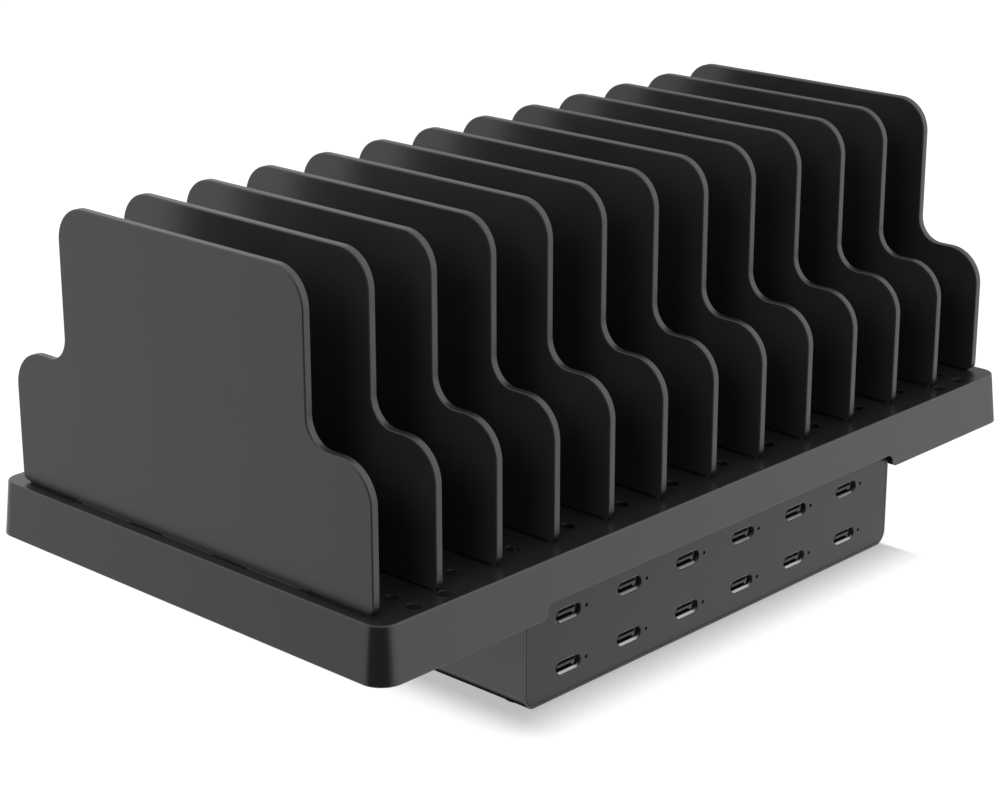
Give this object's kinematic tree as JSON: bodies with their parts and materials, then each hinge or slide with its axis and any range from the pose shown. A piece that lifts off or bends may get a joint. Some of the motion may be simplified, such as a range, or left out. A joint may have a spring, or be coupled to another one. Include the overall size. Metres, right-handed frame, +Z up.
{
  "type": "desktop device charging rack",
  "caption": "Slotted deck with stepped upright dividers that form open device slots, over a low charger housing with two rows of small oval charging sockets in its front panel.",
  "frame": {"origin": "on the floor, under the middle of the deck", "axes": "+X to the right along the row of dividers, seen from the socket side; the sockets face -Y; +Z up"},
  "size_m": [0.2704, 0.153, 0.1251],
  "materials": {
    "charcoal_abs": "fine matte texture",
    "panel_abs": "smooth matte",
    "foot_rubber": "matte",
    "socket_steel": "drawn, slightly dull",
    "black_nylon": "moulded",
    "board_laminate": "lacquered",
    "lamp_white": "clear coated",
    "clear_acrylic": "polished",
    "turned_brass": "turned",
    "ferrite": "sintered",
    "winding_tape": "polyester tape",
    "capacitor_sleeve": "shrunk sleeve",
    "core_coating": "painted",
    "copper_wire": "enamelled",
    "extruded_aluminium": "extruded",
    "clear_glass": "clear",
    "plated_steel": "nickel plated",
    "rocker_gloss": "polished",
    "wire_pvc": "extruded",
    "ribbon_pvc": "extruded",
    "white_nylon": "moulded",
    "zinc_screw": "zinc plated"
  },
  "bodies": {
    "rack": {"deck": "charcoal_abs", "housing_shell": "charcoal_abs", "bottom_cover": "charcoal_abs", "front_panel": "panel_abs", "rear_panel": "charcoal_abs", "foot_front_left": "foot_rubber", "foot_front_right": "foot_rubber", "foot_rear_left": "foot_rubber", "foot_rear_right": "foot_rubber", "socket_01": "socket_steel", "socket_02": "socket_steel", "socket_03": "socket_steel", "socket_04": "socket_steel", "socket_05": "socket_steel", "socket_06": "socket_steel", "socket_07": "socket_steel", "socket_08": "socket_steel", "socket_09": "socket_steel", "socket_10": "socket_steel", "socket_11": "socket_steel", "socket_12": "socket_steel", "socket_tongues": "black_nylon", "socket_board": "board_laminate", "indicator_lamps": "lamp_white", "light_pipes": "clear_acrylic", "main_board": "board_laminate", "board_standoffs": "turned_brass", "transformer_core": "ferrite", "transformer_winding": "winding_tape", "bulk_capacitors": "capacitor_sleeve", "choke_core": "core_coating", "choke_winding": "copper_wire", "heat_sink_left": "extruded_aluminium", "heat_sink_right": "extruded_aluminium", "power_transistors": "black_nylon", "fuse": "clear_glass", "fuse_clips": "plated_steel", "inlet_body": "black_nylon", "inlet_pins": "plated_steel", "switch_frame": "black_nylon", "mains_wires": "wire_pvc", "board_harness": "ribbon_pvc", "harness_connectors": "white_nylon", "deck_screws": "zinc_screw", "case_screws": "zinc_screw", "board_screws": "turned_brass"},
    "divider_01_body": {"divider_01": "charcoal_abs"},
    "divider_02_body": {"divider_02": "charcoal_abs"},
    "divider_03_body": {"divider_03": "charcoal_abs"},
    "divider_04_body": {"divider_04": "charcoal_abs"},
    "divider_05_body": {"divider_05": "charcoal_abs"},
    "divider_06_body": {"divider_06": "charcoal_abs"},
    "divider_07_body": {"divider_07": "charcoal_abs"},
    "divider_08_body": {"divider_08": "charcoal_abs"},
    "divider_09_body": {"divider_09": "charcoal_abs"},
    "divider_10_body": {"divider_10": "charcoal_abs"},
    "divider_11_body": {"divider_11": "charcoal_abs"},
    "divider_12_body": {"divider_12": "charcoal_abs"},
    "divider_13_body": {"divider_13": "charcoal_abs"},
    "rocker": {"switch_rocker": "rocker_gloss"}
  },
  "joints": [
    {"name": "divider_01_lift", "type": "slide", "parent": "rack", "child": "divider_01_body", "axis": [0, 0, 1], "range_m": [0, 0.02]},
    {"name": "divider_02_lift", "type": "slide", "parent": "rack", "child": "divider_02_body", "axis": [0, 0, 1], "range_m": [0, 0.02]},
    {"name": "divider_03_lift", "type": "slide", "parent": "rack", "child": "divider_03_body", "axis": [0, 0, 1], "range_m": [0, 0.02]},
    {"name": "divider_04_lift", "type": "slide", "parent": "rack", "child": "divider_04_body", "axis": [0, 0, 1], "range_m": [0, 0.02]},
    {"name": "divider_05_lift", "type": "slide", "parent": "rack", "child": "divider_05_body", "axis": [0, 0, 1], "range_m": [0, 0.02]},
    {"name": "divider_06_lift", "type": "slide", "parent": "rack", "child": "divider_06_body", "axis": [0, 0, 1], "range_m": [0, 0.02]},
    {"name": "divider_07_lift", "type": "slide", "parent": "rack", "child": "divider_07_body", "axis": [0, 0, 1], "range_m": [0, 0.02]},
    {"name": "divider_08_lift", "type": "slide", "parent": "rack", "child": "divider_08_body", "axis": [0, 0, 1], "range_m": [0, 0.02]},
    {"name": "divider_09_lift", "type": "slide", "parent": "rack", "child": "divider_09_body", "axis": [0, 0, 1], "range_m": [0, 0.02]},
    {"name": "divider_10_lift", "type": "slide", "parent": "rack", "child": "divider_10_body", "axis": [0, 0, 1], "range_m": [0, 0.02]},
    {"name": "divider_11_lift", "type": "slide", "parent": "rack", "child": "divider_11_body", "axis": [0, 0, 1], "range_m": [0, 0.02]},
    {"name": "divider_12_lift", "type": "slide", "parent": "rack", "child": "divider_12_body", "axis": [0, 0, 1], "range_m": [0, 0.02]},
    {"name": "divider_13_lift", "type": "slide", "parent": "rack", "child": "divider_13_body", "axis": [0, 0, 1], "range_m": [0, 0.02]},
    {"name": "switch_throw", "type": "hinge", "parent": "rack", "child": "rocker", "pos_m": [0.02, 0.0642, 0.0155], "axis": [0, 0, 1], "range_deg": [0, 20]}
  ]
}
